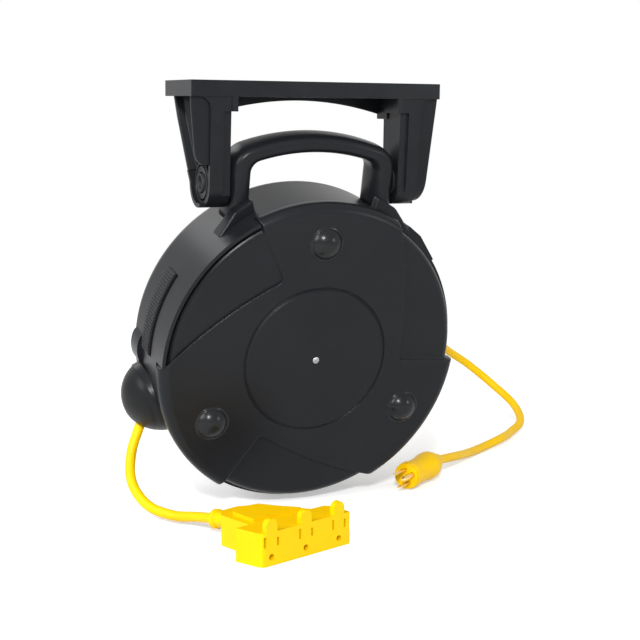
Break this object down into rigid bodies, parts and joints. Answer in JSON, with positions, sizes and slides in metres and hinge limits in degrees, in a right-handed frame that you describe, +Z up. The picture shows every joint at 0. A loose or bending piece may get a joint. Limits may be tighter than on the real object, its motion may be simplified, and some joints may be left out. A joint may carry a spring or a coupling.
{
  "type": "extension cord reel",
  "caption": "Round retractable cord reel hung from a ceiling bracket, with a swing mount, carry handle, roller outlet, ball stop, triple-tap connector and supply plug.",
  "frame": {"origin": "centre of the bracket's four-hole pattern, on the plate's top face, above the swing axis", "axes": "+Z up, normal to the mounting face; +X along the swing axis, to the right seen from the front; +Y back, away from the front cover"},
  "size_m": [0.4959, 0.383, 0.37],
  "materials": {
    "black_plastic": "moulded satin, fine grain",
    "dark_plastic": "moulded satin",
    "bush_plastic": "moulded, natural",
    "black_rubber": "moulded satin",
    "zinc_steel": "bright zinc plate",
    "spring_steel": "blued strip",
    "brass": "drawn",
    "brush_board": "pressed phenolic board",
    "carbon": "carbon",
    "yellow_jacket": "extruded satin",
    "yellow_moulding": "moulded satin"
  },
  "bodies": {
    "bracket": {"mounting_bracket": "black_plastic", "pivot_bushes": "bush_plastic", "friction_washers": "bush_plastic"},
    "housing": {"rear_housing": "black_plastic", "front_cover": "black_plastic", "cover_screws": "zinc_steel", "centre_screw": "zinc_steel", "carry_handle": "black_plastic", "handle_screws": "zinc_steel", "pivot_screws": "zinc_steel", "ribbed_strip": "dark_plastic", "axle": "zinc_steel", "axle_nut": "zinc_steel", "terminal_cover": "black_plastic", "terminal_screws": "zinc_steel", "supply_gland": "black_plastic", "brush_holder": "brush_board", "brushes": "carbon", "outlet_guide": "black_plastic", "roller_pins": "zinc_steel", "pawl_pin": "zinc_steel", "pawl_spring": "spring_steel", "output_cord": "yellow_jacket", "ball_stop_front": "black_rubber", "ball_stop_back": "black_rubber", "ball_screws": "zinc_steel", "tap_body": "yellow_moulding", "tap_gland": "yellow_moulding", "tap_contacts": "brass", "supply_cord": "yellow_jacket", "plug_body": "yellow_moulding", "plug_face": "yellow_moulding", "plug_blades": "brass", "plug_ground_pin": "brass"},
    "drum": {"drum_core": "dark_plastic", "front_flange": "dark_plastic", "rear_flange": "dark_plastic", "flange_screws": "zinc_steel", "ratchet_ring": "zinc_steel", "drum_bushes": "bush_plastic", "power_spring": "spring_steel", "slip_ring_plate": "brush_board", "slip_rings": "brass", "cord_winding": "yellow_jacket"},
    "pawl_arm": {"pawl": "zinc_steel"},
    "outer_roller": {"roller_outer": "bush_plastic"},
    "inner_roller": {"roller_inner": "bush_plastic"},
    "front_roller": {"roller_front": "bush_plastic"},
    "back_roller": {"roller_back": "bush_plastic"}
  },
  "joints": [
    {"name": "reel_swing", "type": "hinge", "parent": "bracket", "child": "housing", "pos_m": [0, 0, -0.0835], "axis": [1, 0, 0], "range_deg": [-75, 60]},
    {"name": "drum_spin", "type": "hinge", "parent": "housing", "child": "drum", "pos_m": [0, 0.02309, -0.22581], "axis": [0, 0.9781, 0.2079], "continuous": true},
    {"name": "pawl_lift", "type": "hinge", "parent": "housing", "child": "pawl_arm", "pos_m": [0.11085, 0.04353, -0.15603], "axis": [0, 0.9781, 0.2079], "range_deg": [0, 12], "stiffness_Nm_per_rad": 0.05, "springref_deg": -11.46},
    {"name": "outer_roller_spin", "type": "hinge", "parent": "housing", "child": "outer_roller", "pos_m": [-0.13091, 0.04026, -0.25126], "axis": [0, 0.9781, 0.2079], "continuous": true},
    {"name": "inner_roller_spin", "type": "hinge", "parent": "housing", "child": "inner_roller", "pos_m": [-0.11189, 0.04154, -0.2573], "axis": [0, 0.9781, 0.2079], "continuous": true},
    {"name": "front_roller_spin", "type": "hinge", "parent": "housing", "child": "front_roller", "pos_m": [-0.11769, 0.02875, -0.24519], "axis": [0.9511, 0.0642, -0.3023], "continuous": true},
    {"name": "back_roller_spin", "type": "hinge", "parent": "housing", "child": "back_roller", "pos_m": [-0.11769, 0.04831, -0.24104], "axis": [0.9511, 0.0642, -0.3023], "continuous": true}
  ]
}
